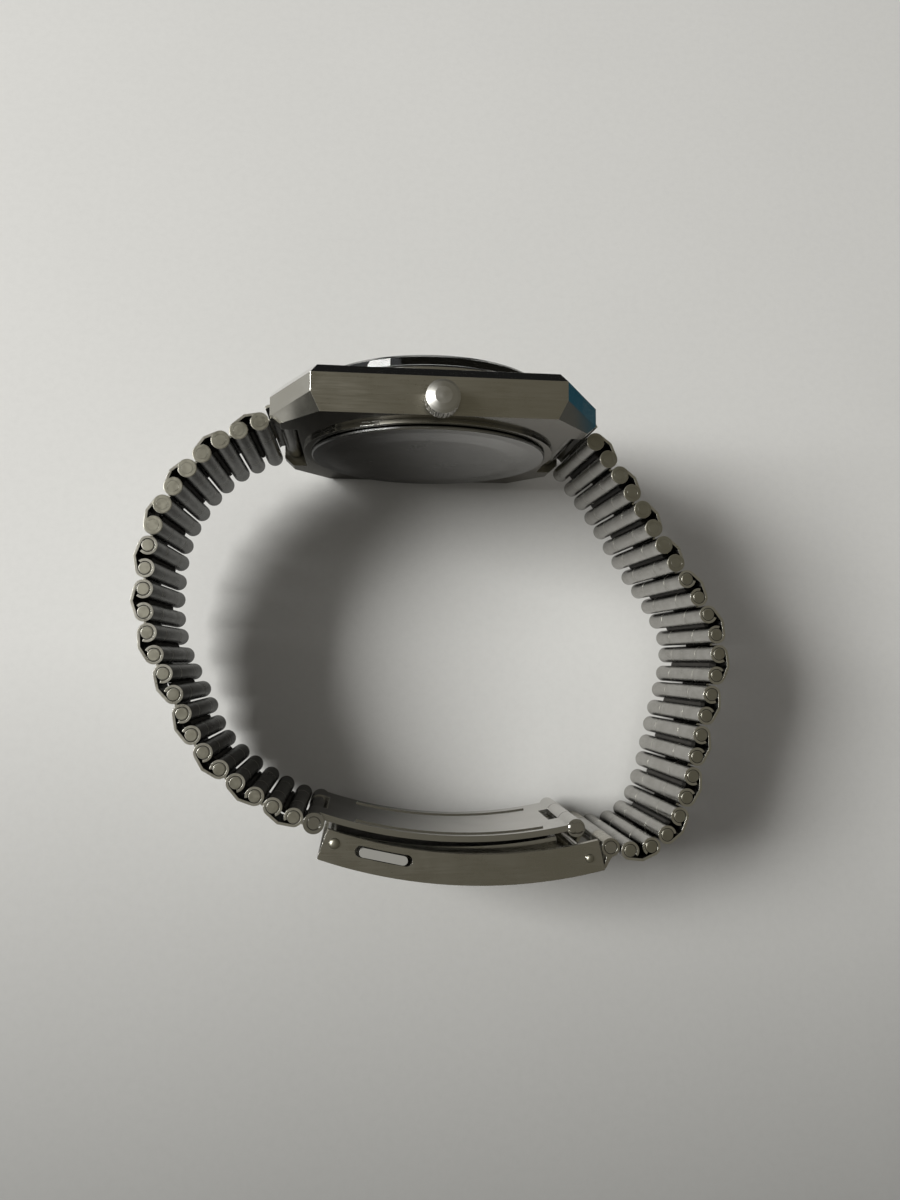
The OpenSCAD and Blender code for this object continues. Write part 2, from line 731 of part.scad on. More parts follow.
module end_link(strap, side) {
    cut = end_pitch / 2 + 0.35;
    color(STEEL) {
        across(-strap_edge + seat_gap, strap_edge - seat_gap) on_strap(strap, side, 0)
            intersection() {
                fold_profile(end_pitch);
                translate([-2 * tube_r, -2 * tube_r]) square([2 * tube_r + cut, 5 * tube_r]);
            }
        across(-centre_half, centre_half) on_strap(strap, side, 0) fold_profile(end_pitch);
    }
}

// A unit of the bracelet: its two edge links, its centre link and their two pins
module link_unit(strap, side, k) {
    first = 2 * k - 1;
    color(STEEL) {
        both_edges(centre_half + seam, strap_edge) on_strap(strap, side, first)
            fold_profile(edge_pitch);
        across(-centre_half, centre_half) on_strap(strap, side, first + 1)
            fold_profile(centre_pitch);
        for (i = [first, first + 1])
            across(-link_pin_end, link_pin_end) translate(strap[0][i]) circle(pin_r);
    }
}

// Puts a side view that is drawn for a level clasp into its place
module in_clasp() translate([clasp_shift, -clasp_drop]) rotate(clasp_tilt) children();

// A curved band of the clasp, between two distances along the cover and two depths
module clasp_band(from, to, shallow, deep)
    intersection() {
        translate(clasp_centre) difference() {
            circle(cover_radius - shallow, $fn = 360);
            circle(cover_radius - deep, $fn = 360);
        }
        polygon([clasp_centre, clasp_at(from, -cover_radius), clasp_at(to, -cover_radius)]);
    }

// A curved band of one thickness between any two points
function band_centre(a, b, r) =
    (a + b) / 2 + sqrt(r * r - pow(norm(b - a) / 2, 2)) * turned(b - a, 90) / norm(b - a);

module blade_band(a, b, r, thickness) {
    centre = band_centre(a, b, r);
    intersection() {
        translate(centre) difference() {
            circle(r + thickness / 2, $fn = 360);
            circle(r - thickness / 2, $fn = 360);
        }
        polygon([centre, 2 * a - centre, 2 * b - centre]);
    }
}

module slot() {
    half = (slot_length - slot_width) / 2;
    reach = slot_width / 2 - 0.01;
    clasp_band(slot_middle - half, slot_middle + half, slot_depth - reach, slot_depth + reach);
    for (s = [slot_middle - half, slot_middle + half])
        translate(clasp_at(s, slot_depth)) circle(slot_width / 2);
}

module clasp_cover()
    color(BRUSHED) {
        difference() {
            union() {
                across(-cover_half, cover_half) in_clasp()
                    clasp_band(-cover_end, cover_end, 0, cover_thickness);
                both_edges(flange_inside, cover_half) in_clasp()
                    clasp_band(-cover_end, cover_end, 0, flange_height);
                both_edges(centre_half + seam, strap_edge - seat_gap) in_clasp() cover_ear();
            }
            across(-cut_reach, cut_reach) in_clasp() {
                slot();
                translate(rivet) circle(rivet_r + face_gap);
                translate(catch_pin) circle(catch_r + face_gap);
                translate(cover_pin) circle(tube_r - sheet);
            }
        }
    }

// The rolled ear that holds the strap's last pin, with the tongue that joins it to the plate
module cover_ear() {
    skin = 0.12;
    translate(cover_pin) circle(tube_r);
    polygon([clasp_at(cover_end - 0.6, skin), clasp_at(cover_end + 0.2, skin),
             clasp_at(cover_end + 1.35, cover_pin_depth - tube_r + skin),
             clasp_at(cover_end + 1, cover_pin_depth - 0.25),
             clasp_at(cover_end + 0.15, cover_thickness - skin),
             clasp_at(cover_end - 0.6, cover_thickness - skin)]);
}

// The rivet of the middle blade, the catch bar and the two stubs in the cover's ears
module clasp_rivets()
    color(STEEL) {
        across(-rivet_end, rivet_end) in_clasp() {
            translate(rivet) circle(rivet_r);
            translate(catch_pin) circle(catch_r);
        }
        both_edges(centre_half + seam, strap_edge - seat_gap) in_clasp() translate(cover_pin)
            circle(pin_r);
    }

module clasp_adjuster() {
    half = slot_width / 2 - slot_play;
    color(STEEL) across(-rivet_end, rivet_end) in_clasp()
        translate(clasp_at(slot_middle, slot_depth)) rotate(clasp_angle(slot_middle)) union() {
            square([adjuster_length - 2 * half, 2 * half], center = true);
            for (end = [-1, 1]) translate([end * (adjuster_length / 2 - half), 0]) circle(half);
        }
}

module middle_blade_side()
    blade_band(clasp_at(-cover_end + 1.3, rivet_depth + rivet_barrel_r - middle_blade_thickness / 2),
        clasp_at(fold_s, fold_depth - fold_barrel_r + middle_blade_thickness / 2), blade_radius + 1,
        middle_blade_thickness);

module clasp_middle_blade()
    color(BRUSHED) difference() {
        union() {
            across(-fold_tongue_half, fold_tongue_half) in_clasp() {
                middle_blade_side();
                translate(fold_pin) circle(fold_barrel_r);
            }
            across(-middle_blade_half, middle_blade_half) in_clasp() intersection() {
                middle_blade_side();
                polygon([clasp_centre, clasp_at(-cover_end - 5, outside),
                         clasp_at(fold_s - 2.6, outside)]);
            }
            across(-rivet_barrel_half, rivet_barrel_half) in_clasp()
                translate(rivet) circle(rivet_barrel_r);
        }
        across(-cut_reach, cut_reach) in_clasp() {
            translate(fold_pin) circle(fold_pin_r + pin_clearance);
            translate(rivet) circle(rivet_r + pin_clearance);
        }
    }

module inner_blade_side(extra)
    blade_band(clasp_at(-cover_end - 1.8, inner_pin_depth + strap_curl_r - inner_blade_thickness / 2),
        clasp_at(fold_s, fold_depth + 0.2), blade_radius, inner_blade_thickness + extra);

// The inner blade has curls round the strap's pin, ears round the fold pin and two ribs
module clasp_inner_blade()
    color(BRUSHED) difference() {
        union() {
            across(-inner_blade_half, inner_blade_half) in_clasp() inner_blade_side(0);
            both_edges(rib_middle - 0.5, rib_middle + 0.5) in_clasp() intersection() {
                inner_blade_side(0.3);
                polygon([clasp_centre, clasp_at(-cover_end + 3, outside),
                         clasp_at(fold_s - 4, outside)]);
            }
            both_edges(centre_half + seam, strap_edge - seat_gap) in_clasp()
                translate(inner_pin) circle(strap_curl_r);
            both_edges(fold_tongue_half + seam, inner_blade_half) in_clasp()
                translate(fold_pin) circle(fold_barrel_r);
        }
        across(-centre_half - seam, centre_half + seam) in_clasp()
            translate(inner_pin) circle(tube_r + 0.5);
        across(-fold_tongue_half - seam, fold_tongue_half + seam) in_clasp()
            translate(fold_pin) circle(fold_barrel_r + 1.2);
        across(-cut_reach, cut_reach) in_clasp() {
            translate(inner_pin) circle(tube_r - sheet);
            translate(fold_pin) circle(fold_pin_r + face_gap);
        }
    }

module clasp_inner_pins()
    color(STEEL) {
        across(-strap_edge + 0.1, strap_edge - 0.1) in_clasp() translate(inner_pin) circle(pin_r);
        across(-inner_blade_half + seat_gap, inner_blade_half - seat_gap) in_clasp()
            translate(fold_pin) circle(fold_pin_r);
    }

stand() case_middle();
stand() case_back();
stand() back_gasket();
stand() bezel();
stand() crystal();
stand() tension_ring();
stand() spring_bars();
stand() crown_tube();
stand() winding_stem();
stand() crown();
stand() dial();
stand() chapter_ring();
stand() hour_markers();
stand() hour_hand();
stand() minute_hand();
stand() second_hand();
stand() movement_ring();
stand() main_plate();
stand() train_bridge();
stand() barrel();
stand() centre_wheel();
stand() third_wheel();
stand() fourth_wheel();
stand() escape_wheel();
stand() pallet_fork();
stand() balance_wheel();
stand() hairspring();
stand() balance_cock();
stand() clasp_inner_blade();
stand() clasp_inner_pins();
stand() clasp_middle_blade();
stand() clasp_cover();
stand() clasp_rivets();
stand() clasp_adjuster();
stand() end_link(left_strap, LEFT);  // left_end_link
stand() end_link(right_strap, RIGHT);  // right_end_link
for (k = [1 : units]) {
    stand() link_unit(left_strap, LEFT, k);
    stand() link_unit(right_strap, RIGHT, k);
}
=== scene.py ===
import json
import math

import bmesh
import bpy
from mathutils import Matrix, Vector


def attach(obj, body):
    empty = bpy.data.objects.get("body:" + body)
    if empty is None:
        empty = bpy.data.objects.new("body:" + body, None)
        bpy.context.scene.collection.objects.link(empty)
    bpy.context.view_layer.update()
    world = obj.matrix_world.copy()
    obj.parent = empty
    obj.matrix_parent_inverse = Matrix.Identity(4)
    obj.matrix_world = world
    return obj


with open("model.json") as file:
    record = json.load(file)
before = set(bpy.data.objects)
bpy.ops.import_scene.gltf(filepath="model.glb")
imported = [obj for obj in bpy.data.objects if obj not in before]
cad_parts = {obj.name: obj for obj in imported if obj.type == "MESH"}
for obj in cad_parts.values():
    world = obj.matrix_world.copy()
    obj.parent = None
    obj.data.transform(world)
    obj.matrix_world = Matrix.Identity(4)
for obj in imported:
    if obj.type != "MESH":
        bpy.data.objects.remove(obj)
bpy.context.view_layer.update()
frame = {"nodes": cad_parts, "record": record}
nodes = frame["nodes"]
MM = 0.001

# The watch's own axes, as in the part's source: x to twelve o'clock, z out of the dial
# and w out to the crown. The watch stands on its side and leans a little.
LEAN = math.radians(8.73956)
STAND = (0.875892, -25.5897, 17.6159)

# The pinhole camera that was fitted to the photograph: its place in the watch's axes and
# millimetres, its headings, and its focal length in pixels of the photograph's height
CAMERA_AT = (-8.37, -30.62, 107)
CAMERA_RIGHT = (0.9945, 0.0053, 0.105)
CAMERA_DOWN = (0.0127, -0.9975, -0.07)
CAMERA_AHEAD = (0.1044, 0.071, -0.992)
SENSOR = 36
FOCAL_PIXELS, HEIGHT_PIXELS = 850, 1200

# The one lamp: its place and its size in metres, its power in watts and its colour
KEY_AT, KEY_SIZE, KEY_POWER = (-0.98, 0.10, 0.76), (0.5, 0.55), 17.0
KEY_COLOUR = (1.0, 0.995, 0.97)
# The background that is seen, and the weak even light from all round
BACKGROUND = (0.80, 0.80, 0.79)
FILL, FILL_STRENGTH = (1.0, 0.96, 0.90), 0.17

# The floor: its size, its two tones, its fibres, and the dark tone of a painted shade that takes a
# share of it, from none at y = 0 to the share given below at the y given below and beyond
FLOOR_REACH = 3.0
FLOOR_TONES = (0.74, 0.74, 0.725), (0.78, 0.78, 0.765)
FLOOR_FIBRE = (0.50, 0.50, 0.49)
FLOOR_SHADE, FLOOR_SHADE_SHARE, FLOOR_SHADE_Y = (0.10, 0.10, 0.095), 0.66, -0.080

# Stage pieces that only reflections see. Metal shows these in place of the pale floor and
# background, so its dark tones come partly from them.
ROOM_RADIUS = 1.6
ROOM = (0.118, 0.110, 0.086)
# Parts of the room: from and to heading, from and to height, and colour
ROOM_PATCHES = (
    (55, 125, 0, 12, (0.010, 0.010, 0.010)),
    (156, 172, 6, 62, (0.85, 0.87, 0.88)),
)
# The paper under the watch, as low x, high x, low y and high y. Its darker copy is painted shade:
# it ends at PAPER_COPY_Y and goes from the darker first tone to the second between the two x.
PAPER = (-0.085, 0.060, -0.105, 0.100)
PAPER_COPY_Y = 0.034
PAPER_SHADE_TONES, PAPER_SHADE_X = ((0.17, 0.17, 0.165), (0.52, 0.51, 0.49)), (-0.018, 0.012)
TABLE_LEVEL = 0.3 * MM
TABLE = (0.060, 0.058, 0.050)
TABLE_FAR = (0.012, 0.012, 0.012)
TABLE_BRIGHT = (0.42, 0.41, 0.37)
TABLE_BRIGHT_Y, TABLE_FAR_Y = -0.010, 0.20
BLUE_CARD = (0.014, 0.050, 0.070)
BLUE_CARD_X, BLUE_CARD_Y = 0.15, (0.010, 0.085)

# Steel: dirt and painted shade in the creases, the noise scale in x, z and w of fine lines that
# run along x, and the depth of fine lines
DIRT_AND_CREASE_SHADE = (0.030, 0.028, 0.024)
ALONG = (260, 5200, 5200)
LINE_DEPTH = 0.004 * MM

# The strap and clasp, in millimetres: units on a side, a tube's radius, where pins and tubes
# end, how many units from the case on have broad pin heads, and where the clasp's pins end
SIDES, UNITS = ("left", "right"), 12
TUBE_R = 1.075
PIN_END = 8.97
TUBE_END = 9.0
FULL_HEAD_UNITS = 4
RIVET_END, INNER_PIN_END = 9.3, 7.85
# The dark block of painted shade between the middle tubes: half its width, its height where the
# unit before is on the same body or on another one, whose fold needs more room, and its gap to the
# tubes
GAP_SHADE_HALF, GAP_SHADE_TOP, GAP_SHADE_TOP_AT_HINGE, GAP_SHADE_GAP = 6.4, 0.85, 0.5, 0.03
# About the middle of the closed loop, in the watch's z
LOOP_MIDDLE_Z = -28

# The minute track: its level on the chapter ring, how deep it goes in and how far it stands
# out, and half width, inner and outer radius of a plain mark and of every fifth
TRACK_LEVEL, TRACK_SUNK, TRACK_LIFT = 1.3, 0.02, 0.012
TRACK_MARK, TRACK_FIFTH = (0.05, 12.85, 13.2), (0.12, 12.7, 13.25)


def heading(x, z, w):
    """A direction in the watch's axes, in the frame of the model."""
    return Vector((
        x,
        z * math.cos(LEAN) - w * math.sin(LEAN),
        z * math.sin(LEAN) + w * math.cos(LEAN),
    ))


def place(x, z, w):
    """A point in the watch's axes, in millimetres, in the frame of the model."""
    return (heading(x, z, w) + Vector((-STAND[0], -STAND[1], STAND[2]))) * MM


# ---------------------------------------------------------------- camera and light


def make_camera():
    """The photograph's camera."""
    data = bpy.data.cameras.new("camera")
    data.sensor_width = SENSOR
    data.lens = SENSOR * FOCAL_PIXELS / HEIGHT_PIXELS
    data.clip_start, data.clip_end = 0.005, 10
    camera = bpy.data.objects.new("camera", data)
    bpy.context.scene.collection.objects.link(camera)
    right, down, ahead = (heading(*v) for v in (CAMERA_RIGHT, CAMERA_DOWN, CAMERA_AHEAD))
    turn = Matrix((right, -down, -ahead)).transposed().to_4x4()
    camera.matrix_world = Matrix.Translation(place(*CAMERA_AT)) @ turn
    bpy.context.scene.camera = camera


def lamp(name, at, towards, size, power, colour):
    """A rectangular lamp at one place that shines towards another."""
    data = bpy.data.lights.new(name, "AREA")
    data.shape = "RECTANGLE"
    data.size, data.size_y = size
    data.energy = power
    data.color = colour
    piece = bpy.data.objects.new(name, data)
    bpy.context.scene.collection.objects.link(piece)
    piece.location = at
    piece.rotation_mode = "QUATERNION"
    piece.rotation_quaternion = (Vector(at) - Vector(towards)).to_track_quat("Z", "Y")


def sheet_mesh(name, corners):
    """A flat stage piece from its four corners."""
    data = bpy.data.meshes.new(name)
    data.from_pydata(corners, [], [(0, 1, 2, 3)])
    piece = bpy.data.objects.new(name, data)
    bpy.context.scene.collection.objects.link(piece)
    return piece


def dome(name, radius, patches):
    """The dim room around the set, which only reflections see: half a sphere with patches,
    each with its heading, height and colour."""
    made = bmesh.new()
    around, up = 72, 20
    rows = []
    for i in range(up + 1):
        height = math.radians(90 * i / up)
        rows.append([made.verts.new((
            radius * math.cos(height) * math.cos(2 * math.pi * k / around),
            radius * math.cos(height) * math.sin(2 * math.pi * k / around),
            radius * math.sin(height))) for k in range(around)])
    for i in range(up):
        middle = 90 * (i + 0.5) / up
        for k in range(around):
            turn = (k + 0.5) * 360 / around
            quad = [rows[i][k], rows[i][(k + 1) % around],
                    rows[i + 1][(k + 1) % around], rows[i + 1][k]]
            face = made.faces.new(quad)
            for number, (a0, a1, e0, e1, _) in enumerate(patches, 1):
                if (turn - a0) % 360 <= (a1 - a0) % 360 and e0 <= middle <= e1:
                    face.material_index = number
    data = bpy.data.meshes.new(name)
    made.to_mesh(data)
    made.free()
    piece = bpy.data.objects.new(name, data)
    bpy.context.scene.collection.objects.link(piece)
    for number, colour in enumerate([ROOM] + [p[4] for p in patches]):
        data.materials.append(glow(f"{name}_{number}", colour))
    only_reflected(piece)


def only_reflected(piece):
    """Hides a stage piece from every ray but a glossy one."""
    piece.visible_camera = False
    piece.visible_diffuse = False
    piece.visible_shadow = False
    piece.visible_transmission = False


def table():
    """The table past the edges of the paper, a blue card on it and a darker copy of the paper
    with a painted shade, which only reflections see."""
    x0, x1, y0, y1 = PAPER
    far, z = ROOM_RADIUS, TABLE_LEVEL
    for name, a, b, c, d, level, colour in (
        ("table_left", -far, x0, -far, TABLE_BRIGHT_Y, z, TABLE),
        ("table_left_far", -far, x0, TABLE_BRIGHT_Y, far, z, TABLE_BRIGHT),
        ("table_right", x1, far, y0, TABLE_FAR_Y, z, TABLE),
        ("table_right_far", x1, far, TABLE_FAR_Y, far, z, TABLE_FAR),
        ("table_near", x0, far, -far, y0, z, TABLE),
        ("table_far", x0, x1, y1, far, z, TABLE_FAR),
        ("blue_card", x1, BLUE_CARD_X, *BLUE_CARD_Y, 2 * z, BLUE_CARD),
    ):
        piece = sheet_mesh(name, [(a, c, level), (b, c, level), (b, d, level), (a, d, level)])
        piece.data.materials.append(glow(name, colour))
        only_reflected(piece)
    # Painted shade: the paper's copy is darker, most of all towards low x
    shade_copy = Paint("paper_shade_reflected", Roughness=1.0)
    split = shade_copy.new("ShaderNodeSeparateXYZ")
    shade_copy.link(shade_copy.where, split.inputs[0])
    shade_copy.colour(shade_copy.blend(shade_copy.spread(split.outputs[0], *PAPER_SHADE_X), *PAPER_SHADE_TONES))
    top = PAPER_COPY_Y
    piece = sheet_mesh("paper_shade_reflected", [(x0, y0, z), (x1, y0, z), (x1, top, z), (x0, top, z)])
    piece.data.materials.append(shade_copy.made)
    only_reflected(piece)


def glow(name, colour):
    """A material that gives off one even colour."""
    made = bpy.data.materials.new(name)
    made.use_nodes = True
    tree = made.node_tree
    tree.nodes.clear()
    out = tree.nodes.new("ShaderNodeOutputMaterial")
    light = tree.nodes.new("ShaderNodeEmission")
    light.inputs["Color"].default_value = (*colour, 1)
    tree.links.new(light.outputs[0], out.inputs[0])
    return made


def make_world():
    """The pale background for the camera and through glass, and the weak fill for the rest.
    Glossy rays don't get the background: metal sees the room in its place."""
    world = bpy.data.worlds.new("studio")
    bpy.context.scene.world = world
    world.use_nodes = True
    tree = world.node_tree
    tree.nodes.clear()
    out = tree.nodes.new("ShaderNodeOutputWorld")
    seen = tree.nodes.new("ShaderNodeBackground")
    fill = tree.nodes.new("ShaderNodeBackground")
    seen.inputs["Color"].default_value = (*BACKGROUND, 1)
    seen.inputs["Strength"].default_value = 1
    fill.inputs["Color"].default_value = (*FILL, 1)
    fill.inputs["Strength"].default_value = FILL_STRENGTH
    path = tree.nodes.new("ShaderNodeLightPath")
    either = tree.nodes.new("ShaderNodeMath")
    either.operation = "MAXIMUM"
    mix = tree.nodes.new("ShaderNodeMixShader")
    link = tree.links.new
    link(path.outputs["Is Camera Ray"], either.inputs[0])
    link(path.outputs["Is Transmission Ray"], either.inputs[1])
    link(either.outputs[0], mix.inputs[0])
    link(fill.outputs[0], mix.inputs[1])
    link(seen.outputs[0], mix.inputs[2])
    link(mix.outputs[0], out.inputs[0])


# ---------------------------------------------------------------- materials


class Paint:
    """A node material on the Principled shader, built up call by call."""

    def __init__(self, name, **sockets):
        self.made = bpy.data.materials.new(name)
        self.made.use_nodes = True
        self.tree = self.made.node_tree
        self.shader = self.tree.nodes["Principled BSDF"]
        for key, value in sockets.items():
            self.shader.inputs[key.replace("_", " ")].default_value = value
        self.where = self.new("ShaderNodeTexCoord").outputs["Object"]

    def new(self, kind, **facts):
        made = self.tree.nodes.new(kind)
        for key, value in facts.items():
            setattr(made, key, value)
        return made

    def link(self, a, b):
        self.tree.links.new(a, b)

    def watch_axes(self, scale=(1, 1, 1)):
        """The place in the watch's own axes: x, z and w, each times its scale."""
        turn = self.new("ShaderNodeMapping")
        turn.inputs["Rotation"].default_value = (-LEAN, 0, 0)
        self.link(self.where, turn.inputs["Vector"])
        size = self.new("ShaderNodeMapping")
        size.inputs["Scale"].default_value = scale
        self.link(turn.outputs[0], size.inputs["Vector"])
        return size.outputs[0]

    def noise(self, vector, scale=1.0, detail=3, rough=0.5, twist=0.0):
        made = self.new("ShaderNodeTexNoise")
        made.inputs["Scale"].default_value = scale
        made.inputs["Detail"].default_value = detail
        made.inputs["Roughness"].default_value = rough
        made.inputs["Distortion"].default_value = twist
        self.link(vector, made.inputs["Vector"])
        return made.outputs["Fac"]

    def spread(self, value, low, high, to_low=0.0, to_high=1.0, smooth=False):
        made = self.new("ShaderNodeMapRange")
        if smooth:
            made.interpolation_type = "SMOOTHSTEP"
        for key, number in zip(("From Min", "From Max", "To Min", "To Max"),
                               (low, high, to_low, to_high)):
            made.inputs[key].default_value = number
        self.link(value, made.inputs["Value"])
        return made.outputs[0]

    def math(self, what, a, b=None):
        made = self.new("ShaderNodeMath", operation=what)
        for socket, value in zip(made.inputs, (a, b)):
            if value is None:
                continue
            if isinstance(value, (int, float)):
                socket.default_value = value
            else:
                self.link(value, socket)
        return made.outputs[0]

    def blend(self, share, first, second):
        """A colour between two, by a share."""
        made = self.new("ShaderNodeMix", data_type="RGBA")
        for key, value in ((6, first), (7, second)):
            if isinstance(value, tuple):
                made.inputs[key].default_value = (*value, 1)
            else:
                self.link(value, made.inputs[key])
        self.link(share, made.inputs[0])
        return made.outputs[2]

    def edge(self, radius):
        """1 along the edges and 0 on the open faces, and the normal with the edges rounded."""
        round_off = self.new("ShaderNodeBevel", samples=4)
        round_off.inputs["Radius"].default_value = radius
        flat = self.new("ShaderNodeNewGeometry")
        dot = self.new("ShaderNodeVectorMath", operation="DOT_PRODUCT")
        self.link(round_off.outputs[0], dot.inputs[0])
        self.link(flat.outputs["Normal"], dot.inputs[1])
        return self.spread(dot.outputs["Value"], 1.0, 0.93), round_off.outputs[0]

    def crevice(self, reach, bare=0.55, deep=0.12):
        """1 deep in a crease and 0 in the open."""
        made = self.new("ShaderNodeAmbientOcclusion", samples=6)
        made.inputs["Distance"].default_value = reach
        return self.spread(made.outputs["AO"], bare, deep)

    def facing(self, way, low, high):
        """1 where the surface faces a way of the watch's axes, given as x, z and w."""
        made = self.new("ShaderNodeVectorMath", operation="DOT_PRODUCT")
        self.link(self.new("ShaderNodeTexCoord").outputs["Normal"], made.inputs[0])
        made.inputs[1].default_value = heading(*way)
        return self.spread(made.outputs["Value"], low, high)

    def pick(self, share, first, second):
        """A number between two, by a share."""
        made = self.new("ShaderNodeMix", data_type="FLOAT")
        self.link(share, made.inputs[0])
        self.link(first, made.inputs[2])
        self.link(second, made.inputs[3])
        return made.outputs[0]

    def bump(self, height, strength, distance, normal=None):
        made = self.new("ShaderNodeBump")
        made.inputs["Strength"].default_value = strength
        made.inputs["Distance"].default_value = distance
        self.link(height, made.inputs["Height"])
        if normal is not None:
            self.link(normal, made.inputs["Normal"])
        self.link(made.outputs[0], self.shader.inputs["Normal"])

    def colour(self, value):
        self.link(value, self.shader.inputs["Base Color"])

    def rough(self, value):
        self.link(value, self.shader.inputs["Roughness"])


def steel(name, light, dark, grain, low, high, depth, edge=0.05 * MM, patina=0.3, streak=0.2,
          crease=1.1 * MM):
    """Worn steel: fine lines along one way, smudges, dirt and painted shade in the creases, bright
    rubbed edges.
    """
    made = Paint(name, Metallic=1.0)
    lines = made.noise(made.watch_axes(grain), detail=4, rough=0.62)
    marks = made.noise(made.watch_axes((260, 260, 260)), detail=4, rough=0.55, twist=0.4)
    nicks = made.noise(made.watch_axes((5200, 2600, 900)), detail=2)
    worn, normal = made.edge(edge)
    body = made.blend(made.math("MULTIPLY", made.spread(marks, 0.35, 0.7), patina), light, dark)
    body = made.blend(made.math("MULTIPLY", made.spread(lines, 0.3, 0.7), streak), body, dark)
    body = made.blend(made.math("MULTIPLY", made.spread(nicks, 0.70, 0.78), 0.35), body, dark)
    body = made.blend(made.math("MULTIPLY", worn, 0.55), body, (0.86, 0.85, 0.82))
    # Dirt and painted shade: the creases darken towards the dirt colour
    body = made.blend(made.crevice(crease), body, DIRT_AND_CREASE_SHADE)
    made.colour(body)
    wet = made.spread(marks, 0.3, 0.75, low, high)
    gritty = made.math("ADD", wet, made.spread(lines, 0.3, 0.7, -0.05, 0.06))
    rubbed = made.math("SUBTRACT", gritty, made.math("MULTIPLY", worn, 0.06))
    made.rough(made.math("MAXIMUM", rubbed, 0.05))
    made.bump(lines, depth, LINE_DEPTH, normal)
    return made.made


def link_steel():
    """Drawn tube steel, with painted shade black in the gaps, and the sheet's cut ends rubbed
    bright.
    """
    made = Paint("link_steel", Metallic=1.0)
    lines = made.noise(made.watch_axes((4200, 4200, 500)), detail=4, rough=0.6)
    marks = made.noise(made.watch_axes((420, 420, 420)), detail=4, rough=0.55, twist=0.4)
    nicks = made.noise(made.watch_axes((3600, 3600, 900)), detail=2)
    worn, normal = made.edge(0.06 * MM)
    ends = made.math("MAXIMUM", made.facing((0, 0, 1), 0.90, 0.97),
                     made.facing((0, 0, -1), 0.90, 0.97))
    body = made.blend(made.math("MULTIPLY", made.spread(marks, 0.35, 0.7), 0.45),
                      (0.60, 0.60, 0.585), (0.36, 0.355, 0.33))
    body = made.blend(made.math("MULTIPLY", made.spread(lines, 0.3, 0.7), 0.22), body,
                      (0.30, 0.295, 0.28))
    body = made.blend(made.math("MULTIPLY", made.spread(nicks, 0.70, 0.78), 0.30), body,
                      (0.62, 0.61, 0.58))
    body = made.blend(made.math("MULTIPLY", worn, 0.45), body, (0.80, 0.79, 0.75))
    # Painted shade: the gaps and creases go near black
    body = made.blend(made.crevice(1.6 * MM, 0.92, 0.42), body, (0.018, 0.017, 0.015))
    body = made.blend(made.math("MULTIPLY", ends, 0.8), body, (0.78, 0.76, 0.68))
    made.colour(body)
    smooth = made.math("ADD", made.spread(marks, 0.3, 0.75, 0.15, 0.26),
                       made.spread(lines, 0.3, 0.7, -0.04, 0.05))
    made.rough(made.math("ADD", smooth, made.math("MULTIPLY", ends, 0.12)))
    made.bump(lines, 0.12, LINE_DEPTH, normal)
    return made.made


def case_steel():
    """Brushed along the flank, and polished on the corners, bevels and horns."""
    made = Paint("case_steel", Metallic=1.0)
    brushed = made.facing((0, 0, 1), 0.88, 0.93)
    lines = made.noise(made.watch_axes(ALONG), detail=4, rough=0.66)
    marks = made.noise(made.watch_axes((240, 240, 240)), detail=4, rough=0.55, twist=0.5)
    scuff = made.noise(made.watch_axes((700, 9000, 9000)), detail=3, rough=0.7, twist=1.4)
    worn, normal = made.edge(0.07 * MM)
    body = made.blend(brushed, (0.72, 0.715, 0.69), (0.60, 0.575, 0.50))
    body = made.blend(made.math("MULTIPLY", made.spread(marks, 0.4, 0.7), 0.22), body,
                      (0.36, 0.34, 0.28))
    streak = made.math("MULTIPLY", made.spread(lines, 0.32, 0.68), 0.30)
    body = made.blend(made.math("MULTIPLY", streak, brushed), body, (0.34, 0.32, 0.26))
    body = made.blend(made.math("MULTIPLY", made.spread(scuff, 0.66, 0.76), 0.30), body,
                      (0.80, 0.79, 0.75))
    # Painted darker on the side towards the wrist, as the photograph shows it
    # Painted shade: the side that faces away from the dial is much darker
    underside_shade = made.facing((0, -1, 0), 0.6, 0.95)
    body = made.blend(made.math("MULTIPLY", underside_shade, 0.85), body, (0.20, 0.19, 0.165))
    body = made.blend(made.math("MULTIPLY", worn, 0.6), body, (0.88, 0.87, 0.84))
    # Dirt and painted shade: the creases darken towards the dirt colour
    body = made.blend(made.crevice(1.2 * MM, 0.75, 0.3), body, DIRT_AND_CREASE_SHADE)
    made.colour(body)
    smooth = made.spread(marks, 0.3, 0.75, 0.06, 0.17)
    lined = made.math("ADD", made.spread(marks, 0.3, 0.75, 0.27, 0.36),
                      made.spread(lines, 0.3, 0.7, -0.05, 0.07))
    made.rough(made.pick(brushed, smooth, lined))
    height = made.math("MULTIPLY", lines, brushed)
    made.bump(height, 0.3, LINE_DEPTH, normal)
    return made.made


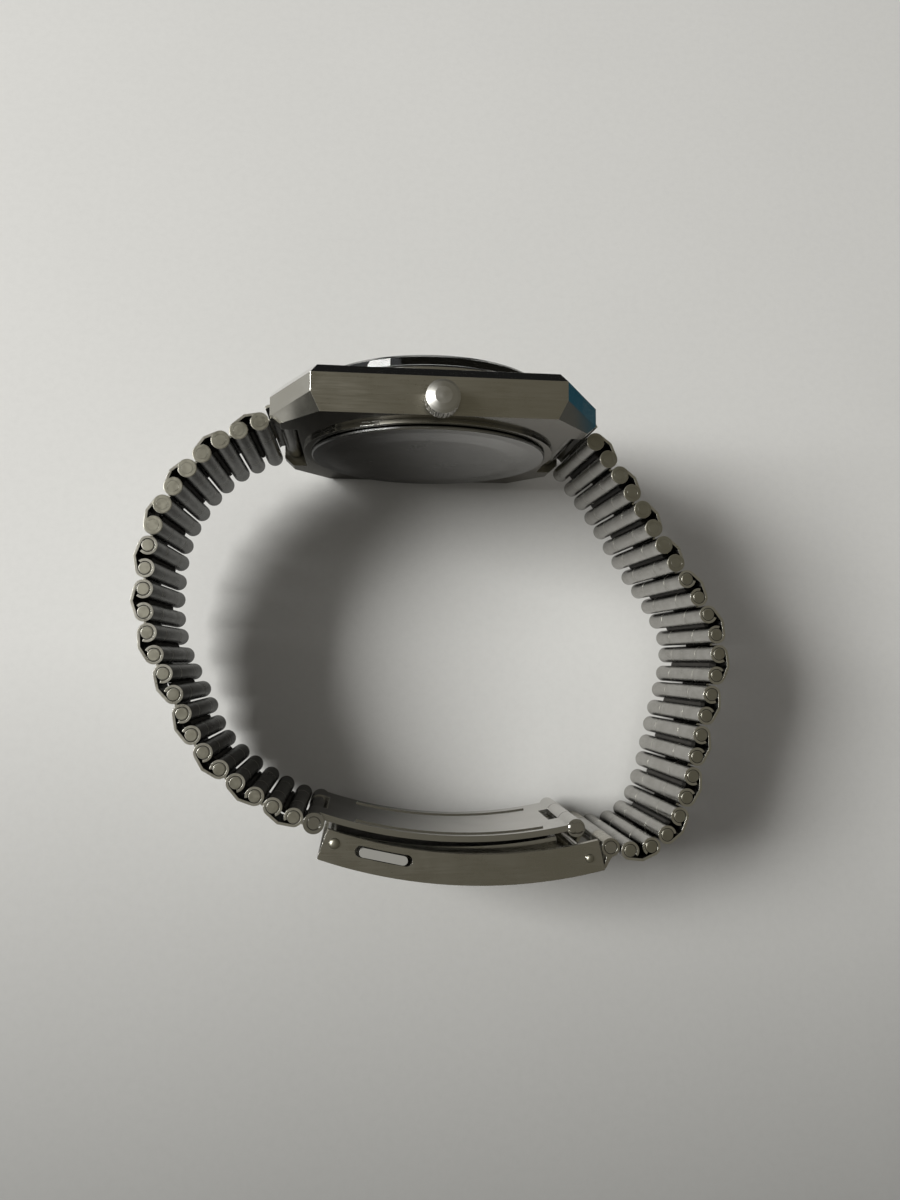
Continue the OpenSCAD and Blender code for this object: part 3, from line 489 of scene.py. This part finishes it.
def back_steel():
    """Turned finish in circles about the middle of the case back."""
    made = Paint("case_back_steel", Metallic=1.0)
    split = made.new("ShaderNodeSeparateXYZ")
    made.link(made.watch_axes(), split.inputs[0])
    across = made.math("MULTIPLY", split.outputs[0], split.outputs[0])
    upward = made.math("MULTIPLY", split.outputs[2], split.outputs[2])
    radius = made.math("SQRT", made.math("ADD", across, upward))
    line_place = made.new("ShaderNodeCombineXYZ")
    made.link(made.math("MULTIPLY", radius, 5200), line_place.inputs[0])
    lines = made.noise(line_place.outputs[0], detail=3, rough=0.6)
    marks = made.noise(made.watch_axes((190, 190, 190)), detail=5, rough=0.6, twist=0.4)
    hair = made.noise(made.watch_axes((500, 6000, 6000)), detail=3, rough=0.7, twist=1.2)
    worn, normal = made.edge(0.06 * MM)
    body = made.blend(made.math("MULTIPLY", made.spread(marks, 0.35, 0.7), 0.4),
                      (0.50, 0.505, 0.51), (0.36, 0.365, 0.37))
    body = made.blend(made.math("MULTIPLY", made.spread(lines, 0.3, 0.7), 0.18), body,
                      (0.30, 0.30, 0.30))
    body = made.blend(made.math("MULTIPLY", made.spread(hair, 0.64, 0.74), 0.3), body,
                      (0.66, 0.66, 0.66))
    body = made.blend(made.math("MULTIPLY", worn, 0.6), body, (0.86, 0.86, 0.85))
    # Dirt and painted shade: the creases go near black
    body = made.blend(made.crevice(0.5 * MM), body, (0.03, 0.03, 0.03))
    made.colour(body)
    made.rough(made.math("ADD", made.spread(marks, 0.3, 0.75, 0.16, 0.28),
                         made.spread(lines, 0.3, 0.7, -0.04, 0.05)))
    made.bump(lines, 0.25, LINE_DEPTH, normal)
    return made.made


def dial_paint():
    """Silver dial with a fine sunburst from its middle."""
    made = Paint("silver_dial", Metallic=0.55)
    split = made.new("ShaderNodeSeparateXYZ")
    made.link(made.watch_axes(), split.inputs[0])
    angle = made.math("ARCTAN2", split.outputs[2], split.outputs[0])
    ray_place = made.new("ShaderNodeCombineXYZ")
    made.link(made.math("MULTIPLY", angle, 60), ray_place.inputs[0])
    rays = made.noise(ray_place.outputs[0], detail=4, rough=0.7)
    age = made.noise(made.watch_axes((300, 300, 300)), detail=4)
    body = made.blend(made.spread(rays, 0.3, 0.7), (0.80, 0.79, 0.75), (0.66, 0.65, 0.61))
    body = made.blend(made.math("MULTIPLY", made.spread(age, 0.5, 0.8), 0.3), body,
                      (0.60, 0.56, 0.47))
    made.colour(body)
    made.rough(made.spread(rays, 0.3, 0.7, 0.30, 0.42))
    made.bump(rays, 0.2, LINE_DEPTH)
    return made.made


def satin(name, light, dark, low, high, metallic=0.0, scale=(900, 900, 900), depth=0.15):
    """A plain finish with a soft mottle, for the parts inside and for rubber and plastic."""
    made = Paint(name, Metallic=metallic)
    grain = made.noise(made.watch_axes(scale), detail=5, rough=0.6)
    worn, normal = made.edge(0.03 * MM)
    body = made.blend(made.spread(grain, 0.35, 0.7), light, dark)
    rubbed = tuple(min(1.0, 1.35 * v + 0.02) for v in light)
    made.colour(made.blend(made.math("MULTIPLY", worn, 0.5), body, rubbed))
    made.rough(made.spread(grain, 0.3, 0.7, low, high))
    made.bump(grain, depth, 0.006 * MM, normal)
    return made.made


def glass_paint():
    """Acrylic glass with faint scuffs."""
    made = Paint("acrylic_glass", Roughness=0.03, IOR=1.49)
    made.shader.inputs["Transmission Weight"].default_value = 1.0
    scuffs = made.noise(made.watch_axes((9000, 500, 700)), detail=4, rough=0.7)
    made.rough(made.spread(scuffs, 0.45, 0.8, 0.02, 0.08))
    made.colour(made.blend(made.spread(scuffs, 0.3, 0.8), (0.93, 0.95, 0.95),
                           (0.86, 0.88, 0.88)))
    made.bump(scuffs, 0.04, LINE_DEPTH)
    return made.made


def paint_all():
    """Gives every CAD node its material, and returns those for the pieces made here."""
    polish = steel("polished_steel", (0.74, 0.73, 0.71), (0.50, 0.49, 0.45),
                   (900, 900, 900), 0.09, 0.20, 0.08)
    clasp = steel("clasp_steel", (0.64, 0.625, 0.57), (0.42, 0.40, 0.34), ALONG, 0.22, 0.36,
                  0.3, patina=0.35, streak=0.3, crease=0.6 * MM)
    caps = steel("pin_head_steel", (0.46, 0.445, 0.375), (0.30, 0.29, 0.235), (1800, 1800, 1800),
                 0.34, 0.46, 0.2, edge=0.015 * MM, crease=0.12 * MM)
    chrome = steel("chrome_steel", (0.80, 0.80, 0.79), (0.55, 0.55, 0.53), ALONG, 0.08, 0.18,
                   0.12, patina=0.3, streak=0.25, crease=0.8 * MM)
    # Painted shade: a near-black finish for the blocks between the middle tubes
    gap_shade = satin("gap_shade", (0.016, 0.015, 0.013), (0.035, 0.032, 0.027), 0.6, 0.8)
    bar = steel("adjuster_steel", (0.93, 0.93, 0.92), (0.75, 0.75, 0.73), ALONG, 0.10, 0.22,
                0.10, crease=0.3 * MM)
    bar.node_tree.nodes["Principled BSDF"].inputs["Metallic"].default_value = 0.72
    slots = {
        "link_steel": link_steel(),
        "polished_steel": polish,
        "brushed_case_steel": clasp,
        "acrylic_glass": glass_paint(),
        "black_ring": satin("black_ring", (0.012, 0.012, 0.013), (0.035, 0.034, 0.032),
                            0.30, 0.55),
        "gasket_rubber": satin("gasket_rubber", (0.015, 0.015, 0.015), (0.03, 0.03, 0.03),
                               0.55, 0.75),
        "silver_dial": dial_paint(),
        "dark_chapter_ring": satin("dark_chapter_ring", (0.016, 0.016, 0.019),
                                   (0.028, 0.028, 0.032), 0.30, 0.42),
        "brass_wheels": satin("brass_wheels", (0.72, 0.50, 0.20), (0.55, 0.37, 0.14), 0.22,
                              0.36, metallic=1.0),
        "plated_brass": satin("plated_brass", (0.64, 0.62, 0.57), (0.50, 0.48, 0.43), 0.26,
                              0.40, metallic=1.0),
        "blued_spring": satin("blued_spring", (0.05, 0.10, 0.38), (0.03, 0.06, 0.25), 0.15,
                              0.28, metallic=1.0),
    }
    hands = steel("hand_steel", (0.26, 0.26, 0.27), (0.13, 0.13, 0.14), ALONG, 0.10, 0.20,
                  0.05, edge=0.02 * MM, patina=0.2, crease=0.1 * MM)
    own = {
        "hour_hand": hands,
        "minute_hand": hands,
        "second_hand": hands,
        "hour_markers": hands,
        "case_middle": case_steel(),
        "crown": steel("crown_steel", (0.72, 0.71, 0.68), (0.45, 0.44, 0.40), (900, 900, 900),
                       0.34, 0.48, 0.1, patina=0.5, crease=0.5 * MM),
        "bezel": polish,
        "clasp_inner_blade": chrome,
        "clasp_middle_blade": chrome,
        "clasp_inner_pins": chrome,
        "clasp_adjuster": bar,
        "case_back": back_steel(),
    }
    slot_of = {r["node"]: r["material_slot"] for r in frame["record"]["subparts"]}
    for name, piece in nodes.items():
        piece.data.materials.clear()
        piece.data.materials.append(own.get(name) or slots[slot_of[name]])
    return {"caps": caps, "polish": polish, "gap_shade": gap_shade, "ticks": satin(
        "track_paint", (0.78, 0.77, 0.72), (0.66, 0.65, 0.60), 0.4, 0.55)}


# ---------------------------------------------------------------- small pieces

# The two ends of a pin, by the sign of their width
END_NAMES = {1: "near", -1: "far"}


def lathe(name, centre, profile, paint, body, steps=32, flat=False):
    """A turned piece about an axis along the pins, from (radius, width) pairs in mm."""
    made = bmesh.new()
    x0, z0 = centre
    rows = []
    for radius, w in profile:
        if radius == 0:
            rows.append([made.verts.new(place(x0, z0, w))])
        else:
            rows.append([made.verts.new(place(
                x0 + radius * math.cos(2 * math.pi * k / steps),
                z0 + radius * math.sin(2 * math.pi * k / steps), w)) for k in range(steps)])
    for low, high in zip(rows, rows[1:]):
        for k in range(steps):
            n = (k + 1) % steps
            quad = [low[k % len(low)], low[n % len(low)], high[n % len(high)], high[k % len(high)]]
            unique = list(dict.fromkeys(quad))
            if len(unique) > 2:
                made.faces.new(unique)
    bmesh.ops.recalc_face_normals(made, faces=made.faces)
    for face in made.faces:
        face.smooth = not flat
    add_piece(name, made, paint, body)


def add_piece(name, made, paint, body):
    """Makes a piece from a finished mesh and lets it ride on its body."""
    data = bpy.data.meshes.new(name)
    made.to_mesh(data)
    made.free()
    data.materials.append(paint)
    piece = bpy.data.objects.new(name, data)
    bpy.context.scene.collection.objects.link(piece)
    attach(piece, body)


def watch_point(vertex):
    """A vertex of a CAD node in the watch's axes, in millimetres."""
    x, y, z = (vertex.co / MM)[:]
    y += STAND[1]
    z -= STAND[2]
    return (x + STAND[0], y * math.cos(LEAN) + z * math.sin(LEAN),
            -y * math.sin(LEAN) + z * math.cos(LEAN))


def round_ends(node, width, slack=0.012):
    """The middles and radii of the two round ends of a node that lie at one width."""
    points = [p for p in map(watch_point, nodes[node].data.vertices) if abs(p[2] - width) < slack]
    a = max(points, key=lambda p: math.dist(p[:2], points[0][:2]))
    b = max(points, key=lambda p: math.dist(p[:2], a[:2]))
    near_a = [p for p in points if math.dist(p[:2], a[:2]) < math.dist(p[:2], b[:2])]
    near_b = [p for p in points if p not in near_a]
    ends = []
    for group in (near_a, near_b):
        x = (min(p[0] for p in group) + max(p[0] for p in group)) / 2
        z = (min(p[1] for p in group) + max(p[1] for p in group)) / 2
        ends.append((x, z, max(math.dist((x, z), p[:2]) for p in group)))
    return ends


def body_of(node):
    """The body that a CAD node rides on."""
    return next(b for b, names in frame["record"]["behaviour"]["bodies"].items() if node in names)


def broad_head():
    """Half the section of a flat pin head with a fine ring, in (radius, width) pairs."""
    top = TUBE_END + 0.05
    return [(0, PIN_END - 0.02), (0.70, PIN_END - 0.02), (0.99, TUBE_END - 0.005),
            (1.02, TUBE_END + 0.01), (1.02, top - 0.01), (1.00, top), (0.66, top),
            (0.66, top - 0.03), (0.62, top - 0.03), (0.62, top), (0, top)]


def low_head(radius):
    """Half the section of a low flat pin head that is a little narrower than its pin."""
    top = PIN_END + 0.06
    return [(0, PIN_END - 0.1), (radius * 0.90, PIN_END - 0.1), (radius * 0.90, top - 0.015),
            (radius * 0.88, top), (0, top)]


def dress_pins(paints):
    """Broad heads on the pins nearest the case, and low ones on the others."""
    for side in SIDES:
        for unit in range(1, UNITS + 1):
            node = f"{side}_link_{unit:02d}"
            for number, (x, z, radius) in enumerate(round_ends(node, PIN_END)):
                shape = broad_head() if unit <= FULL_HEAD_UNITS else low_head(radius)
                for way in END_NAMES:
                    lathe(f"{node}_pin_{number + 1}_{END_NAMES[way]}_head", (x, z),
                          [(r, way * w) for r, w in shape], paints["caps"], body_of(node),
                          flat=True)


def dress_clasp(paints):
    """Domed heads on the rivet and catch bar of the cover and on the pins of the blade."""
    for node, width, body, share, paint in (
        ("clasp_rivets", RIVET_END, "cover", 0.95, "caps"),
        ("clasp_inner_pins", INNER_PIN_END, "inner_blade", 1.05, "polish"),
    ):
        for number, (x, z, radius) in enumerate(round_ends(node, width)):
            r = radius * share
            shape = [(0, width - 0.12), (r * 0.9, width - 0.12), (r, width - 0.04),
                     (r, width + 0.04), (r * 0.8, width + 0.16), (r * 0.4, width + 0.22),
                     (0, width + 0.24)]
            for way in END_NAMES:
                lathe(f"{node}_{number + 1}_{END_NAMES[way]}_head", (x, z),
                      [(a, way * w) for a, w in shape], paints[paint], body)


def fill_gaps(paints):
    """A dark block of painted shade set between the two middle tubes of each unit, on the outer
    side.
    """
    for side in SIDES:
        for unit in range(1, UNITS + 1):
            node = f"{side}_link_{unit:02d}"
            (xa, za, _), (xb, zb, _) = round_ends(node, PIN_END)
            apart = math.dist((xa, za), (xb, zb))
            along = ((xb - xa) / apart, (zb - za) / apart)
            out = (-along[1], along[0])
            middle = ((xa + xb) / 2, (za + zb) / 2)
            if out[0] * middle[0] + out[1] * (middle[1] - LOOP_MIDDLE_Z) < 0:
                out = (-out[0], -out[1])
            before = body_of(f"{side}_link_{unit - 1:02d}") if unit > 1 else body_of(node)
            top = GAP_SHADE_TOP if before == body_of(node) else GAP_SHADE_TOP_AT_HINGE
            outline = []
            for height in (0.0, top / 3, top * 2 / 3, top):
                tube = math.sqrt(TUBE_R ** 2 - height ** 2)
                outline.append((height, apart / 2 - tube - GAP_SHADE_GAP))
            ring = [(h, -half) for h, half in outline] + [(h, half) for h, half in outline[::-1]]
            made = bmesh.new()
            rows = []
            for w in (-GAP_SHADE_HALF, GAP_SHADE_HALF):
                rows.append([made.verts.new(place(
                    middle[0] + out[0] * h + along[0] * t,
                    middle[1] + out[1] * h + along[1] * t, w)) for h, t in ring])
            for k in range(len(ring)):
                n = (k + 1) % len(ring)
                made.faces.new((rows[0][k], rows[0][n], rows[1][n], rows[1][k]))
            made.faces.new(rows[0])
            made.faces.new(rows[1][::-1])
            bmesh.ops.recalc_face_normals(made, faces=made.faces)
            add_piece(f"{node}_grime", made, paints["gap_shade"], body_of(node))


def minute_track(paints):
    """Sixty painted marks on the chapter ring, longer and broader at every fifth."""
    made = bmesh.new()
    for minute in range(60):
        angle = math.radians(6 * minute)
        half, inner, outer = TRACK_MARK if minute % 5 else TRACK_FIFTH
        ways = (math.cos(angle), math.sin(angle))
        corner = []
        for r, side in ((inner, -1), (outer, -1), (outer, 1), (inner, 1)):
            x = r * ways[0] - side * half * ways[1]
            w = r * ways[1] + side * half * ways[0]
            corner.append((x, w))
        low = [made.verts.new(place(x, TRACK_LEVEL - TRACK_SUNK, w)) for x, w in corner]
        high = [made.verts.new(place(x, TRACK_LEVEL + TRACK_LIFT, w)) for x, w in corner]
        made.faces.new(high)
        made.faces.new(low[::-1])
        for k in range(4):
            made.faces.new((low[k], low[(k + 1) % 4], high[(k + 1) % 4], high[k]))
    bmesh.ops.recalc_face_normals(made, faces=made.faces)
    add_piece("minute_track", made, paints["ticks"], body_of("chapter_ring"))


# ---------------------------------------------------------------- floor and light


def make_stage():
    """The pale floor with a painted shade towards -y, the lamp, and what only reflections see."""
    floor = Paint("floor")
    reach = FLOOR_REACH
    piece = sheet_mesh("floor", [(-reach, -reach, 0), (reach, -reach, 0),
                                 (reach, reach, 0), (-reach, reach, 0)])
    cloud = floor.noise(floor.where, scale=9.0, detail=4)
    fibre = floor.noise(floor.where, scale=900.0, detail=4, rough=0.7)
    shade = floor.blend(floor.spread(cloud, 0.35, 0.7), *FLOOR_TONES)
    shade = floor.blend(floor.math("MULTIPLY", floor.spread(fibre, 0.4, 0.75), 0.10), shade,
                        FLOOR_FIBRE)
    split = floor.new("ShaderNodeSeparateXYZ")
    floor.link(floor.where, split.inputs[0])
    # Painted shade: the floor's colour darkens towards -y
    near = floor.spread(split.outputs[1], FLOOR_SHADE_Y, 0.0, FLOOR_SHADE_SHARE, 0.0)
    floor.colour(floor.blend(near, shade, FLOOR_SHADE))
    floor.rough(floor.spread(cloud, 0.3, 0.7, 0.7, 0.8))
    floor.bump(fibre, 0.25, 0.02 * MM)
    piece.data.materials.append(floor.made)
    lamp("key", KEY_AT, (0, 0, 0), KEY_SIZE, KEY_POWER, KEY_COLOUR)
    dome("room", ROOM_RADIUS, ROOM_PATCHES)
    table()


bpy.context.scene.view_settings.view_transform = "Standard"
make_camera()
make_world()
make_stage()
paints = paint_all()
dress_pins(paints)
dress_clasp(paints)
fill_gaps(paints)
minute_track(paints)
